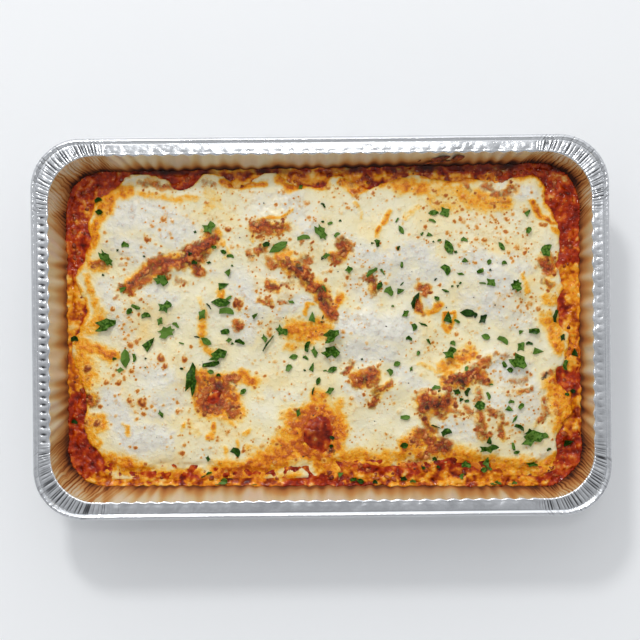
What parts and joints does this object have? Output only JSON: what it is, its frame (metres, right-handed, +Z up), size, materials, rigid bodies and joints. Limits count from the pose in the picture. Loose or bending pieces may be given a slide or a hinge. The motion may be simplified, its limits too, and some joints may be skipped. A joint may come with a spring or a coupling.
{
  "type": "baked lasagne in a foil tray",
  "caption": "Baked lasagne with meat sauce, melted browned cheese and chopped parsley in an oblong, fluted foil tray with a rolled rim.",
  "frame": {"origin": "middle of the tray's base, on the table", "axes": "+X along the tray's length, +Y across the tray, +Z up"},
  "size_m": [0.325, 0.214, 0.05],
  "materials": {
    "foil": "bright thin foil with fine rolling lines and wrinkles",
    "sauce": "glossy, oily, red-brown meat and tomato sauce",
    "cheese": "satin melted cheese, cream to amber, with small browned spots",
    "parsley": "fresh green leaf with a satin surface"
  },
  "bodies": {
    "root": {"foil_tray": "foil", "lasagne_filling": "sauce", "melted_cheese": "cheese", "parsley_leaf_01": "parsley", "parsley_leaf_02": "parsley", "parsley_leaf_03": "parsley", "parsley_leaf_04": "parsley", "parsley_leaf_05": "parsley", "parsley_leaf_06": "parsley", "parsley_leaf_07": "parsley", "parsley_leaf_08": "parsley", "parsley_leaf_09": "parsley", "parsley_leaf_10": "parsley", "parsley_leaf_11": "parsley", "parsley_leaf_12": "parsley", "parsley_leaf_13": "parsley", "parsley_leaf_14": "parsley", "parsley_leaf_15": "parsley", "parsley_leaf_16": "parsley", "parsley_leaf_17": "parsley"}
  },
  "joints": []
}
